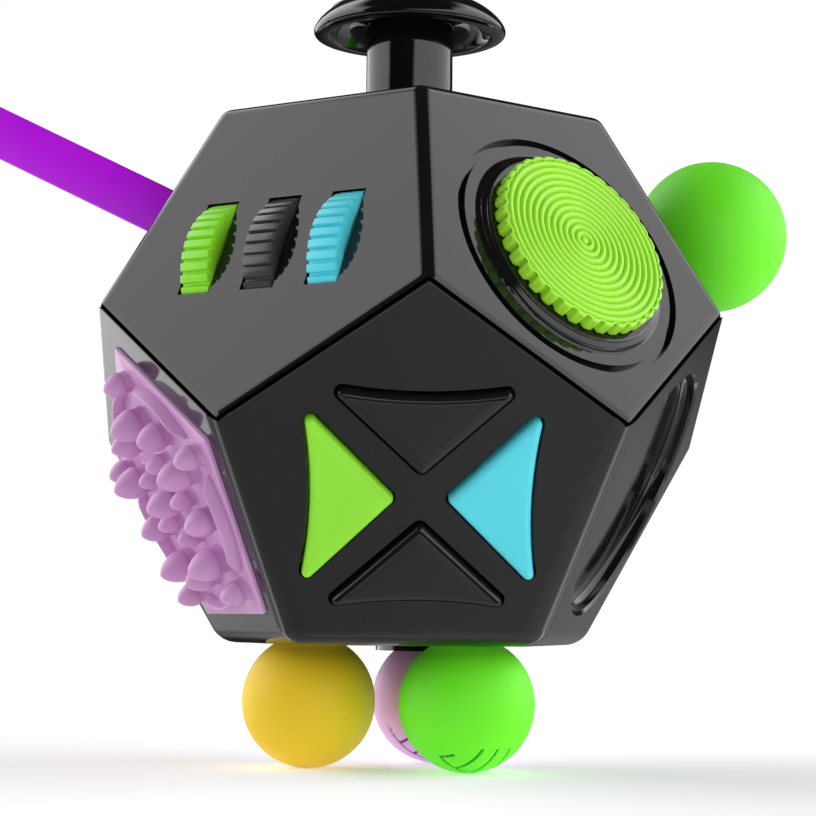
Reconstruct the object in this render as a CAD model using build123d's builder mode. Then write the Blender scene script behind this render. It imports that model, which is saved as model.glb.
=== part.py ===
from build123d import *

import os
from math import atan, cos, degrees, radians, sin, sqrt

# Twelve-sided fidget toy. Millimetres, +Z up through the thumb stick, -Y towards the game pad.
# The origin is on the desk, straight under the middle of the body, which stands on three balls.

# ---------------------------------------------------------------- driving dimensions
edge = 18.0  # edge of the dodecahedron
stretch = 1.014  # the body is this much taller than a regular dodecahedron
wall = 2.0  # shell thickness
upper_round = 1.2  # edge rounding of the upper half
lower_round = 2.2  # edge rounding of the lower half
seam_round = 0.6  # edge rounding of the lower half along the seam
seam_gap = 0.36  # height of the shadow gap between the halves
lip_height = 1.8  # how far the lower half's tongue reaches past the seam
lip_clearance = 0.05
running = 0.05  # radial clearance of shafts in bores

golden = (1 + sqrt(5)) / 2
regular_distance = edge * sqrt(250 + 110 * sqrt(5)) / 20  # middle to face of the regular solid
end_distance = regular_distance * stretch  # middle of the body to its top and bottom faces
tilt = degrees(atan(0.5 / stretch))  # elevation of the ten other faces' normals
face_distance = regular_distance / sqrt(0.8 + 0.2 / stretch**2)  # middle of the body to those faces
inner_distance = face_distance - wall
ring_radius = edge / (2 * sin(radians(36)))  # corners of the top and bottom faces
belt_radius = ring_radius * golden  # corners of the zigzag seam
belt_height = ring_radius * (golden - 1) / 2 * stretch  # of those corners, above and below

# balls on the bottom face and on the right-hand rear face
ball_radius = 5.1
ball_seat = 4.35  # bottom face to ball centre: each ball rests in its bush's dished seat
ball_circle = 7.4  # radius of the circle that the three balls stand on
side_ball_radius = 6.2
side_ball_seat = 9.85  # the ball on the rear face is drawn out
ball_travel = 3.5

core_height = end_distance + ball_seat + ball_radius  # desk to the middle of the body
core = Vector(0, 0, core_height)

# name: (azimuth, elevation) of the face's outward normal
faces = {
    "stick": (90, 90),
    "gears": (-126, tilt),
    "dial": (-54, tilt),
    "side_ball": (18, tilt),
    "rocker": (90, tilt),
    "strap": (162, tilt),
    "pad": (-90, -tilt),
    "dish": (-18, -tilt),
    "roller": (54, -tilt),
    "clickers": (126, -tilt),
    "massage": (-162, -tilt),
    "balls": (90, -90),
}

# thumb stick
pivot_drop = 5.24  # top face to the gimbal's centre
stem_radius = 3.4
skirt_radius = 7.6
skirt_seat_radius = 7.75
cap_radius = 7.6
cap_crown = 3.3  # top of the cap above its lowest rim
cap_underside = 7.02  # top face to the cap's lowest rim
pin_radius = 0.9
pin_length = 14.0
pivot_ball_radius = 4.2
skirt_thickness = 0.7
cap_socket_radius = 1.8
cap_socket_depth = 3.0
stem_overlap = 0.8  # how far the stem reaches into the cap
foot_drop = 4.6  # gimbal's centre to the foot that the spring pushes on
foot_radius = 3.0
foot_thickness = 0.6
foot_neck_radius = 1.2
gimbal_ring_radii = (5.4, 7.2)  # inner, outer
gimbal_ring_height = 2.4
frame_radii = (8.4, 9.9)
frame_cup_radii = (5.2, 6.0)
frame_thickness = 0.8
stick_spring_radii = (2.1, 2.6)

# thumb wheels
wheel_radius = 5.75
wheel_width = 2.5
wheel_teeth = 40
wheel_proud = 1.35
wheel_pitch = 5.6
wheel_offset = (-0.1, -0.36)
axle_radius = 1.0
slot_radius = 5.95  # the slots are cut to the wheels' curve
slot_width = 2.9
rib_thickness = 1.2
rib_start = 8.0
rib_width = 5.0
rib_overlap = 0.3  # how far a rib is sunk into the wall
spacer_radius = 1.7

# spinning dial
dial_drop = -0.91  # below the middle of its face
boss_foot_radius = 8.5
boss_top_radius = 7.8
boss_height = 0.6
dial_radius = 7.3
dial_thickness = 1.2
dial_scallops = 36
dial_rings = 11
dial_groove_half = 0.11
dial_groove_depth = 0.22
dial_stem_radius = 1.5
dial_screw_radius = 0.7
dial_screw_head = (1.4, 1.0)  # radius, height
dial_washer_size = (3.4, 0.6)  # radius, thickness
boss_groove_radii = (9.4, 10.0)
boss_groove_depth = 0.5

# game pad
pad_drop = -1.09
pad_gap = 0.22
pad_proud = 0.8
pad_corner = 0.4
pad_edge_round = 0.35
pad_travel = 0.8
flange_thickness = 0.8
flange_overhang = 0.6
flange_gap = 0.05  # under the wall
plate_radius = 9.2
plate_thickness = 0.8
membrane_thickness = 0.6
dome_height = 0.4
dome_gap = 0.1
pad_dome_radius = 1.6

# clickers and rocker
clicker_radius = 2.1
clicker_spread = 4.9
clicker_proud = 1.2
clicker_travel = 0.8
rocker_size = (7.0, 12.0)
clicker_plate_radius = 8.8
clicker_sheet_thickness = 0.5
clicker_dome_radius = 1.4
rocker_tip = 9.0  # degrees that the rocker rests off level
rocker_pin_radius = 0.8
rocker_pivot_depth = 1.6
bezel_margin = 3.0  # bezel's outside over the rocker's
bezel_depth = 3.4
bezel_rim = 4.6  # bezel's rim over the rocker
bezel_rim_height = 0.6

# roller
roller_radius = 4.2
roller_seat_radius = 4.3
roller_drop = 1.9  # face to the roller's centre
roller_cup_radius = 5.1
roller_cup_depth = 4.8

# thumb rest: a flat-bottomed recess
dish_radius = 10.0
dish_depth = 1.2
dish_corner = 0.6  # rounding at the foot of its wall
dish_chamfer = 0.2
dish_backing = (9.5, 1.5)  # radius and thickness of the disc behind it

# massage pad: rings of soft nubs, each (radius of the ring, how many)
tray_radius = 12.1
tray_recess = 0.7
tray_proud = 0.25
tray_drop = -0.39
nub_rings = ((0, 1), (3.2, 5), (6.3, 10), (9.5, 5))
nub_foot = 1.15
nub_tip = 0.5
nub_height = 2.4

# strap
strap_width = 3.9
strap_rise = 3.65  # above the middle of its face
strap_thickness = 1.1
strap_length = 34.0  # from the face to the middle of the eyelet's tab
strap_root = 4.6  # from the face to the strap's inner end
strap_tab_radius = 4.4
gland_size = (3.4, 7.4)
gland_corner = 1.2
gland_depth = 3.0
gland_rim_size = (4.8, 8.8)
gland_rim_corner = 1.9
gland_rim_height = 0.7
anchor_size = (3.0, 7.0)
eyelet_radius = 2.2
eyelet_wall = 0.4
eyelet_rim = 1.2  # how far its rims reach past the hole

os.makedirs("parts", exist_ok=True)


def turned(plane, angle):
    """The same plane with its X direction turned about its normal."""
    x_dir = plane.x_dir * cos(radians(angle)) + plane.y_dir * sin(radians(angle))
    return Plane(origin=plane.origin, x_dir=x_dir, z_dir=plane.z_dir)


def on_face(name, distance, u=0.0, v=0.0):
    """Plane parallel to a face; X is across, Y is up the face. The distance is the one from the body's
    middle for the ten side faces, and the top and bottom faces stand further out by their own amount."""
    azimuth, elevation = (radians(angle) for angle in faces[name])
    normal = Vector(cos(elevation) * cos(azimuth), cos(elevation) * sin(azimuth), sin(elevation))
    across = Vector(-sin(azimuth), cos(azimuth), 0)
    if name in ("stick", "balls"):
        across = Vector(1, 0, 0)
        distance += end_distance - face_distance
    up = normal.cross(across)
    return Plane(origin=core + normal * distance + across * u + up * v, x_dir=across, z_dir=normal)


def dodecahedron(distance):
    """Regular dodecahedron whose faces lie at the given distance from the body's middle."""
    with BuildPart(Plane(origin=core)) as block:
        Box(4 * edge, 4 * edge, 4 * edge)
        for name in faces:
            split(bisect_by=on_face(name, distance), keep=Keep.BOTTOM)
    return block.part


def seam_side(shift):
    """Everything above the zigzag seam, which runs from the body's middle out through the belt corners."""
    reach = 1.8
    apex = core + Vector(0, 0, shift)
    roof = apex + Vector(0, 0, 4 * edge)
    corners = []
    for step in range(10):
        angle = radians(-90 + 36 * step)
        height = belt_height if step % 2 == 0 else -belt_height
        out = Vector(belt_radius * cos(angle), belt_radius * sin(angle), height)
        corners.append(apex + out * reach)
    sides = []
    for first, second in zip(corners, corners[1:] + corners[:1]):
        sides.append(Face(Wire.make_polygon([apex, first, second])))
        sides.append(Face(Wire.make_polygon([roof, first, second])))
    return Solid(Shell(sides))


def save(piece, name):
    piece.part.label = name
    export_step(piece.part, "parts/" + name + ".step")


def pad_outline(plane, turn, grow):
    """One of the four triangles of the cross: point inwards, outer side hollow, corners rounded."""
    point = (1.8, 0)
    far = (8.5, 6.95)
    hollow = 7.8
    with BuildSketch(turned(plane, turn)) as outline:
        with BuildLine():
            Line(point, far)
            ThreePointArc(far, (hollow, 0), (far[0], -far[1]))
            Line((far[0], -far[1]), point)
        make_face()
        fillet(outline.vertices(), pad_corner)
        if grow:
            offset(amount=grow)
    return outline.sketch


def level(z):
    """Height above the desk of a level given from the body's middle."""
    return core_height + z


pivot_z = level(end_distance - pivot_drop)
wheel_axis_distance = face_distance + wheel_proud - wheel_radius
pad_turns = {"right": 0, "top": 90, "left": 180, "bottom": 270}
wheels = {"left": -1, "middle": 0, "right": 1}
clicker_spots = {
    "centre": (0, 0),
    "upper_left": (-1, 1),
    "upper_right": (1, 1),
    "lower_left": (-1, -1),
    "lower_right": (1, -1),
}

# name: (face, u, v, ball radius, face to ball centre, height of the collar outside the face)
ports = {}
for colour, angle, collar in (("orange", 186, 0.0), ("green", 306, 0.0), ("pink", 66, 0.55)):
    across = ball_circle * cos(radians(angle))
    along = -ball_circle * sin(radians(angle))
    ports[colour] = ("balls", across, along, ball_radius, ball_seat, collar)
ports["side"] = ("side_ball", 0.0, 0.0, side_ball_radius, side_ball_seat, 0.0)

port_hole = 2.6
port_flange = 3.2
port_flange_depth = 0.8
port_inner = -4.0  # inner end of each guide bush, from the face
plunger_radius = 1.5
plunger_end = -9.8
ring_height = 0.8
seat_clearance = 0.06


def port_plane(name, height=0.0):
    face, u, v = ports[name][:3]
    return on_face(face, face_distance + height, u, v)


def across_wheels(u):
    """Plane square to the wheels' axle, at a place along it."""
    middle = on_face("gears", wheel_axis_distance, wheel_offset[0] + u, wheel_offset[1])
    return Plane(origin=middle.origin, x_dir=middle.z_dir, z_dir=middle.x_dir)


# ---------------------------------------------------------------- shell blanks
sharp_block = dodecahedron(face_distance)
upper_block = sharp_block.fillet(upper_round, sharp_block.edges())
lower_edges = sharp_block.edges().filter_by(lambda e: e.center().Z < core_height - belt_height * 1.02)
lower_block = sharp_block.fillet(lower_round, lower_edges)
seam_edges = lower_block.edges().filter_by(
    lambda e: e.geom_type == GeomType.LINE and abs(e.center().Z - core_height) < 1.5 and e.length > 8
)
lower_block = lower_block.fillet(seam_round, seam_edges)
inner_block = dodecahedron(inner_distance)
rabbet_block = dodecahedron(face_distance - wall / 2)
tongue_block = dodecahedron(face_distance - wall / 2 - lip_clearance)

# ---------------------------------------------------------------- upper shell
with BuildPart() as upper_shell:
    add(upper_block)
    add(inner_block, mode=Mode.SUBTRACT)
    add(seam_side(seam_gap / 2), mode=Mode.INTERSECT)
    add(rabbet_block - seam_side(lip_height), mode=Mode.SUBTRACT)
    # spherical seat for the stick's skirt
    with Locations((0, 0, pivot_z)):
        Sphere(skirt_seat_radius, mode=Mode.SUBTRACT)
    # slots for the three thumb wheels, and the ribs that carry their axle
    for place in wheels.values():
        with BuildSketch(across_wheels(place * wheel_pitch - slot_width / 2)):
            Circle(slot_radius)
        extrude(amount=slot_width, mode=Mode.SUBTRACT)
    for side in (-1, 1):
        middle = wheel_offset[0] + side * (rib_start + rib_thickness / 2)
        with BuildSketch(on_face("gears", inner_distance + rib_overlap, middle, wheel_offset[1])):
            Rectangle(rib_thickness, rib_width)
        extrude(amount=wheel_axis_distance - inner_distance - rib_overlap - 2.2 * axle_radius)
        base = on_face("gears", wheel_axis_distance, middle, wheel_offset[1])
        with BuildSketch(Plane(origin=base.origin, x_dir=base.z_dir, z_dir=base.x_dir)):
            Circle(axle_radius)
        extrude(amount=rib_thickness, both=True, mode=Mode.SUBTRACT)
    # raised boss for the dial, with a groove around it
    boss_plane = on_face("dial", face_distance, 0, dial_drop)
    with BuildSketch(Plane(origin=boss_plane.origin, x_dir=boss_plane.x_dir, z_dir=-boss_plane.y_dir)):
        with BuildLine():
            Polyline((0, -1), (boss_foot_radius, -1), (boss_foot_radius, 0))
            RadiusArc((boss_foot_radius, 0), (boss_foot_radius - 0.35, 0.3), 0.45)
            Line((boss_foot_radius - 0.35, 0.3), (boss_top_radius, boss_height - 0.15))
            RadiusArc((boss_top_radius, boss_height - 0.15), (boss_top_radius - 0.2, boss_height), -0.2)
            Polyline((boss_top_radius - 0.2, boss_height), (0, boss_height), (0, -1))
        make_face()
    revolve(axis=Axis(boss_plane.origin, boss_plane.z_dir))
    with BuildSketch(boss_plane.offset(boss_groove_depth)):
        Circle(boss_groove_radii[1])
        Circle(boss_groove_radii[0], mode=Mode.SUBTRACT)
    extrude(amount=-2 * boss_groove_depth, mode=Mode.SUBTRACT)
    with BuildSketch(boss_plane.offset(2)):
        Circle(dial_stem_radius + running)
    extrude(amount=-6, mode=Mode.SUBTRACT)
    # holes for the side ball's bush, the rocker's bezel and the strap's gland
    with BuildSketch(port_plane("side", 1)):
        Circle(port_hole)
    extrude(amount=-4, mode=Mode.SUBTRACT)
    with BuildSketch(port_plane("side", 1)):
        Circle(port_flange)
    extrude(amount=-1 - port_flange_depth, mode=Mode.SUBTRACT)
    with BuildSketch(on_face("rocker", face_distance + 1)):
        RectangleRounded(rocker_size[0] + bezel_margin, rocker_size[1] + bezel_margin, bezel_margin / 2)
    extrude(amount=-4, mode=Mode.SUBTRACT)
    with BuildSketch(on_face("strap", face_distance + 1, 0, strap_rise)):
        RectangleRounded(*gland_size, gland_corner)
    extrude(amount=-4, mode=Mode.SUBTRACT)
save(upper_shell, "upper_shell")

# ---------------------------------------------------------------- lower shell
with BuildPart() as lower_shell:
    add(lower_block)
    add(inner_block, mode=Mode.SUBTRACT)
    add(seam_side(-seam_gap / 2), mode=Mode.SUBTRACT)
    add((tongue_block - inner_block - seam_side(lip_height - 0.1)) & seam_side(-1.0))
    # thumb rest, backed by a disc inside
    with BuildSketch(on_face("dish", inner_distance + rib_overlap)):
        Circle(dish_backing[0])
    extrude(amount=-dish_backing[1])
    dish_plane = on_face("dish", face_distance)
    dish_foot = dish_radius - dish_corner
    bend = dish_corner * (1 - cos(radians(45)))
    with BuildSketch(Plane(origin=dish_plane.origin, x_dir=dish_plane.x_dir, z_dir=-dish_plane.y_dir)):
        with BuildLine():
            Polyline((0, 1), (dish_radius + dish_chamfer, 1), (dish_radius + dish_chamfer, 0))
            Line((dish_radius + dish_chamfer, 0), (dish_radius, -dish_chamfer))
            Line((dish_radius, -dish_chamfer), (dish_radius, dish_corner - dish_depth))
            ThreePointArc(
                (dish_radius, dish_corner - dish_depth),
                (dish_radius - bend, bend - dish_depth),
                (dish_foot, -dish_depth),
            )
            Polyline((dish_foot, -dish_depth), (0, -dish_depth), (0, 1))
        make_face()
    revolve(axis=Axis(dish_plane.origin, dish_plane.z_dir), mode=Mode.SUBTRACT)
    # openings for the game pad's buttons
    for turn in pad_turns.values():
        outside = on_face("pad", face_distance + 1, 0, pad_drop)
        extrude(pad_outline(outside, turn, pad_gap), amount=4, dir=-outside.z_dir, mode=Mode.SUBTRACT)
    # tray recess of the massage pad
    with BuildSketch(on_face("massage", face_distance + 1, 0, tray_drop)):
        RegularPolygon(tray_radius + 0.1, 5, rotation=18)
    extrude(amount=-1 - tray_recess, mode=Mode.SUBTRACT)
    # seat of the roller, and the clickers' openings
    with Locations(on_face("roller", face_distance - roller_drop)):
        Sphere(roller_seat_radius, mode=Mode.SUBTRACT)
    with BuildSketch(on_face("clickers", face_distance + 1)):
        with Locations(*[(x * clicker_spread, y * clicker_spread) for x, y in clicker_spots.values()]):
            Circle(clicker_radius + 0.15)
    extrude(amount=-4, mode=Mode.SUBTRACT)
    # counterbored holes for the ball bushes
    for colour in ("orange", "green", "pink"):
        with BuildSketch(port_plane(colour, 1)):
            Circle(port_hole)
        extrude(amount=-4, mode=Mode.SUBTRACT)
        with BuildSketch(port_plane(colour, 1)):
            Circle(port_flange)
        extrude(amount=-1 - port_flange_depth, mode=Mode.SUBTRACT)
save(lower_shell, "lower_shell")

# ---------------------------------------------------------------- thumb stick
with BuildPart() as joystick_stem:
    with Locations((0, 0, pivot_z)):
        Sphere(skirt_radius)
        Sphere(skirt_radius - skirt_thickness, mode=Mode.SUBTRACT)
    split(bisect_by=Plane.XY.offset(pivot_z + skirt_radius * cos(radians(60))), keep=Keep.TOP)
    with BuildSketch(Plane.XY.offset(pivot_z)):
        Circle(stem_radius)
    extrude(amount=pivot_drop + cap_underside + stem_overlap)
    with Locations((0, 0, pivot_z)):
        Sphere(pivot_ball_radius)
    with BuildSketch(Plane(origin=(0, -pin_length / 2, pivot_z), z_dir=(0, 1, 0))):
        Circle(pin_radius)
    extrude(amount=pin_length)
    with BuildSketch(Plane.XY.offset(pivot_z - foot_drop)):
        Circle(foot_neck_radius)
    extrude(amount=2)
    with BuildSketch(Plane.XY.offset(pivot_z - foot_drop)):
        Circle(foot_radius)
    extrude(amount=foot_thickness)
    with BuildSketch(Plane.XY.offset(pivot_z + pivot_drop + cap_underside + stem_overlap)):
        Circle(cap_socket_radius)
    extrude(amount=-cap_socket_depth, mode=Mode.SUBTRACT)
save(joystick_stem, "joystick_stem")

cap_base = pivot_z + pivot_drop + cap_underside
plug_depth = cap_socket_depth - stem_overlap - 0.1  # just clear of the socket's bottom
with BuildPart() as joystick_cap:
    with BuildSketch(Plane(origin=(0, 0, cap_base), x_dir=(1, 0, 0), z_dir=(0, -1, 0))):
        with BuildLine():
            Polyline(
                (0, -plug_depth),
                (cap_socket_radius, -plug_depth),
                (cap_socket_radius, stem_overlap),
                (stem_radius, stem_overlap),
            )
            Spline(
                (stem_radius, stem_overlap),
                (5.6, 0.62),
                (6.8, 0),
                (cap_radius, 0.5),
                (7.0, 1.4),
                (5.6, 2.35),
                (3.6, 3.0),
                (0, cap_crown),
                tangents=((1, 0), (-1, 0)),
            )
            Line((0, cap_crown), (0, -plug_depth))
        make_face()
    revolve(axis=Axis.Z)
    # four grip nubs near the rim
    with BuildSketch(Plane.XY.offset(cap_base + 1.2)):
        with PolarLocations(5.8, 4, 45):
            Circle(0.6)
    extrude(amount=1.4)
save(joystick_cap, "joystick_cap")

with BuildPart() as gimbal_ring:
    with BuildSketch(Plane.XY.offset(pivot_z - gimbal_ring_height / 2)):
        Circle(gimbal_ring_radii[1])
        Circle(gimbal_ring_radii[0], mode=Mode.SUBTRACT)
    extrude(amount=gimbal_ring_height)
    for side in (-1, 1):
        with BuildSketch(Plane(origin=(side * 6.4, 0, pivot_z), z_dir=(side, 0, 0))):
            Circle(pin_radius)
        extrude(amount=3.3)
    with BuildSketch(Plane(origin=(0, -10, pivot_z), z_dir=(0, 1, 0))):
        Circle(pin_radius + running)
    extrude(amount=20, mode=Mode.SUBTRACT)
save(gimbal_ring, "gimbal_ring")

frame_floor = pivot_z - 9.6
frame_deck = pivot_z - 4.3
with BuildPart() as gimbal_frame:
    with BuildSketch(Plane.XY.offset(frame_deck)):
        Circle(frame_radii[1])
    extrude(amount=level(end_distance - wall) - frame_deck)
    with BuildSketch(Plane.XY.offset(frame_deck + frame_thickness)):
        Circle(frame_radii[0])
    extrude(amount=10, mode=Mode.SUBTRACT)
    with BuildSketch(Plane.XY.offset(frame_floor)):
        Circle(frame_cup_radii[1])
    extrude(amount=frame_deck - frame_floor + frame_thickness / 2)
    with BuildSketch(Plane.XY.offset(frame_floor + frame_thickness)):
        Circle(frame_cup_radii[0])
    extrude(amount=12, mode=Mode.SUBTRACT)
    with BuildSketch(Plane(origin=(-12, 0, pivot_z), z_dir=(1, 0, 0))):
        Circle(pin_radius + running)
    extrude(amount=24, mode=Mode.SUBTRACT)
save(gimbal_frame, "gimbal_frame")

with BuildPart() as joystick_spring:
    with BuildSketch(Plane.XY.offset(frame_floor + frame_thickness)):
        Circle(stick_spring_radii[1])
        Circle(stick_spring_radii[0], mode=Mode.SUBTRACT)
    extrude(amount=pivot_z - foot_drop - frame_floor - frame_thickness)
save(joystick_spring, "joystick_spring")

# ---------------------------------------------------------------- thumb wheels
for name, place in wheels.items():
    with BuildPart() as wheel:
        with BuildSketch(across_wheels(place * wheel_pitch - wheel_width / 2)):
            Circle(wheel_radius)
            Circle(axle_radius + running, mode=Mode.SUBTRACT)
        extrude(amount=wheel_width)
        rims = wheel.edges().filter_by(GeomType.CIRCLE).filter_by(lambda e: e.radius > wheel_radius - 0.1)
        chamfer(rims, 0.12)
        with BuildSketch(across_wheels(place * wheel_pitch - wheel_width)):
            with PolarLocations(wheel_radius, wheel_teeth):
                Rectangle(0.7, 0.36)
        extrude(amount=2 * wheel_width, mode=Mode.SUBTRACT)
    save(wheel, "thumb_wheel_" + name)

with BuildPart() as wheel_axle:
    with BuildSketch(across_wheels(-rib_start - rib_thickness)):
        Circle(axle_radius)
    extrude(amount=2 * (rib_start + rib_thickness))
save(wheel_axle, "wheel_axle")

with BuildPart() as wheel_spacers:
    gap_start = wheel_width / 2 + running
    long_spacer = wheel_pitch - 2 * gap_start
    short_spacer = rib_start - wheel_pitch - gap_start
    starts = [(gap_start, long_spacer), (wheel_pitch + gap_start, short_spacer)]
    starts += [(-start - length, length) for start, length in starts]
    for start, length in starts:
        with BuildSketch(across_wheels(start)):
            Circle(spacer_radius)
            Circle(axle_radius, mode=Mode.SUBTRACT)
        extrude(amount=length)
save(wheel_spacers, "wheel_spacers")

# ---------------------------------------------------------------- spinning dial
dial_plane = on_face("dial", face_distance + boss_height + running, 0, dial_drop)
dial_foot = dial_plane.offset(-boss_height - wall - 0.1)  # just inside the wall
with BuildPart() as spin_dial:
    with BuildSketch(dial_plane):
        Circle(dial_radius)
        with PolarLocations(dial_radius + 0.12, dial_scallops):
            Circle(0.36, mode=Mode.SUBTRACT)
    extrude(amount=dial_thickness)
    with BuildSketch(dial_foot):
        Circle(dial_stem_radius)
    extrude(amount=boss_height + wall + 0.1)
    groove_pitch = (dial_radius - 1.3) / dial_rings
    for ring in range(dial_rings):
        middle = 0.8 + ring * groove_pitch
        with BuildSketch(dial_plane.offset(dial_thickness)):
            Circle(middle + dial_groove_half)
            Circle(middle - dial_groove_half, mode=Mode.SUBTRACT)
        extrude(amount=-dial_groove_depth, mode=Mode.SUBTRACT)
    with BuildSketch(dial_foot):
        Circle(dial_screw_radius)
    extrude(amount=boss_height + wall, mode=Mode.SUBTRACT)
save(spin_dial, "spin_dial")

with BuildPart() as dial_washer:
    with BuildSketch(dial_foot):
        Circle(dial_washer_size[0])
        Circle(dial_screw_radius, mode=Mode.SUBTRACT)
    extrude(amount=-dial_washer_size[1])
save(dial_washer, "dial_washer")

screw_seat = dial_foot.offset(-dial_washer_size[1])
with BuildPart() as dial_screw:
    with BuildSketch(screw_seat):
        Circle(dial_screw_head[0])
    extrude(amount=-dial_screw_head[1])
    with BuildSketch(screw_seat):
        Circle(dial_screw_radius)
    extrude(amount=dial_washer_size[1] + 2.4)
    # cross recess
    with BuildSketch(screw_seat.offset(-dial_screw_head[1])):
        Rectangle(2.0, 0.4)
        Rectangle(0.4, 2.0)
    extrude(amount=0.6, mode=Mode.SUBTRACT)
save(dial_screw, "dial_screw")

# ---------------------------------------------------------------- game pad
pad_top = on_face("pad", face_distance + pad_proud, 0, pad_drop)
pad_flange = on_face("pad", inner_distance - flange_gap, 0, pad_drop)
for name, turn in pad_turns.items():
    with BuildPart() as pad_button:
        extrude(pad_outline(pad_top, turn, 0), amount=pad_proud + wall + 0.2, dir=-pad_top.z_dir)
        fillet(pad_button.faces().sort_by(Axis(core, pad_top.z_dir))[-1].edges(), pad_edge_round)
        extrude(pad_outline(pad_flange, turn, flange_overhang), amount=flange_thickness, dir=-pad_top.z_dir)
    save(pad_button, "pad_button_" + name)

dome_top = inner_distance - flange_gap - flange_thickness - pad_travel - dome_gap
membrane_plane = on_face("pad", dome_top - dome_height, 0, pad_drop)
with BuildPart() as pad_membrane:
    with BuildSketch(membrane_plane):
        Circle(plate_radius)
    extrude(amount=-membrane_thickness)
    with BuildSketch(membrane_plane):
        with PolarLocations(5.6, 4):
            Circle(pad_dome_radius)
    extrude(amount=dome_height)
save(pad_membrane, "pad_membrane")

with BuildPart() as pad_back_plate:
    with BuildSketch(membrane_plane.offset(-membrane_thickness)):
        Circle(plate_radius)
    extrude(amount=-plate_thickness)
save(pad_back_plate, "pad_back_plate")

# ---------------------------------------------------------------- massage pad
with BuildPart() as massage_pad:
    with BuildSketch(on_face("massage", face_distance - tray_recess, 0, tray_drop)):
        RegularPolygon(tray_radius, 5, rotation=18)
    extrude(amount=tray_recess + tray_proud)
    with Locations(on_face("massage", face_distance + tray_proud, 0, tray_drop)):
        for ring, count in nub_rings:
            with PolarLocations(ring, count, 90):
                Cone(nub_foot, nub_tip, nub_height, align=(Align.CENTER, Align.CENTER, Align.MIN))
save(massage_pad, "massage_pad")

# ---------------------------------------------------------------- balls on sprung plungers
for name, (face, u, v, radius, seat, collar) in ports.items():
    plane = port_plane(name)
    with BuildPart() as ball:
        with Locations(plane.offset(seat)):
            Sphere(radius)
        with BuildSketch(plane.offset(-1)):
            Circle(plunger_radius)
        extrude(amount=seat + 0.5, mode=Mode.SUBTRACT)
    save(ball, "ball_" + name)

    with BuildPart() as plunger:
        with BuildSketch(plane.offset(plunger_end)):
            Circle(plunger_radius)
        extrude(amount=seat - 0.5 - plunger_end)
    save(plunger, "ball_plunger_" + name)

    with BuildPart() as ring:
        with BuildSketch(plane.offset(plunger_end + 0.2)):
            Circle(2.3)
            Circle(plunger_radius, mode=Mode.SUBTRACT)
        extrude(amount=ring_height)
    save(ring, "ball_ring_" + name)

    with BuildPart() as spring:
        with BuildSketch(plane.offset(plunger_end + 0.2 + ring_height)):
            Circle(2.15)
            Circle(plunger_radius + 0.2, mode=Mode.SUBTRACT)
        extrude(amount=port_inner - plunger_end - 0.2 - ring_height)
    save(spring, "ball_spring_" + name)

with BuildPart() as guide_bushes:
    for name in ("orange", "green", "side"):
        with BuildSketch(port_plane(name, port_inner)):
            Circle(port_hole)
        extrude(amount=-port_inner - port_flange_depth)
        with BuildSketch(port_plane(name, -port_flange_depth)):
            Circle(port_flange)
        extrude(amount=port_flange_depth)
        with BuildSketch(port_plane(name, port_inner)):
            Circle(plunger_radius + running)
        extrude(amount=-port_inner, mode=Mode.SUBTRACT)
        with Locations(port_plane(name, ports[name][4])):
            Sphere(ports[name][3] + seat_clearance, mode=Mode.SUBTRACT)
save(guide_bushes, "guide_bushes")

with BuildPart() as collar_bush:
    with BuildSketch(port_plane("pink", port_inner)):
        Circle(port_hole)
    extrude(amount=-port_inner - port_flange_depth)
    with BuildSketch(port_plane("pink", -port_flange_depth)):
        Circle(port_flange)
    extrude(amount=port_flange_depth)
    with BuildSketch(port_plane("pink")):
        Circle(4.9)
    extrude(amount=ports["pink"][5])
    with BuildSketch(port_plane("pink", port_inner)):
        Circle(plunger_radius + running)
    extrude(amount=-port_inner + 1, mode=Mode.SUBTRACT)
    with Locations(port_plane("pink", ball_seat)):
        Sphere(ball_radius + seat_clearance, mode=Mode.SUBTRACT)
save(collar_bush, "collar_bush")

# ---------------------------------------------------------------- rocker
rocker_plane = on_face("rocker", face_distance)
with BuildPart() as rocker_bezel:
    with BuildSketch(rocker_plane.offset(-bezel_depth)):
        RectangleRounded(rocker_size[0] + bezel_margin, rocker_size[1] + bezel_margin, bezel_margin / 2)
    extrude(amount=bezel_depth)
    with BuildSketch(rocker_plane):
        RectangleRounded(rocker_size[0] + bezel_rim, rocker_size[1] + bezel_rim, 2.2)
    extrude(amount=bezel_rim_height)
    with BuildSketch(rocker_plane.offset(2)):
        RectangleRounded(rocker_size[0] + 0.5, rocker_size[1] + 1.5, 0.4)
    extrude(amount=-8, mode=Mode.SUBTRACT)
    rocker_pivot = rocker_plane.offset(-rocker_pivot_depth).origin
    rocker_across = Plane(origin=rocker_pivot, x_dir=rocker_plane.z_dir, z_dir=rocker_plane.x_dir)
    with BuildSketch(rocker_across.offset(-10)):
        Circle(rocker_pin_radius)
    extrude(amount=20, mode=Mode.SUBTRACT)
save(rocker_bezel, "rocker_bezel")

tipped = turned(rocker_across, rocker_tip)
with BuildPart() as rocker:
    half = rocker_size[1] / 2
    with BuildSketch(tipped.offset(-rocker_size[0] / 2)):
        with BuildLine():
            Polyline((-1.6, -3.0), (1.2, -half), (3.3, -half), (2.6, 0))
            Polyline((2.6, 0), (3.3, half), (1.2, half), (-1.6, 3.0))
            Line((-1.6, 3.0), (-1.6, -3.0))
        make_face()
        Circle(rocker_pin_radius + running, mode=Mode.SUBTRACT)
    extrude(amount=rocker_size[0])
save(rocker, "rocker")

with BuildPart() as rocker_pin:
    with BuildSketch(rocker_across.offset(-(rocker_size[0] + bezel_margin) / 2)):
        Circle(rocker_pin_radius)
    extrude(amount=rocker_size[0] + bezel_margin)
save(rocker_pin, "rocker_pin")

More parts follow.
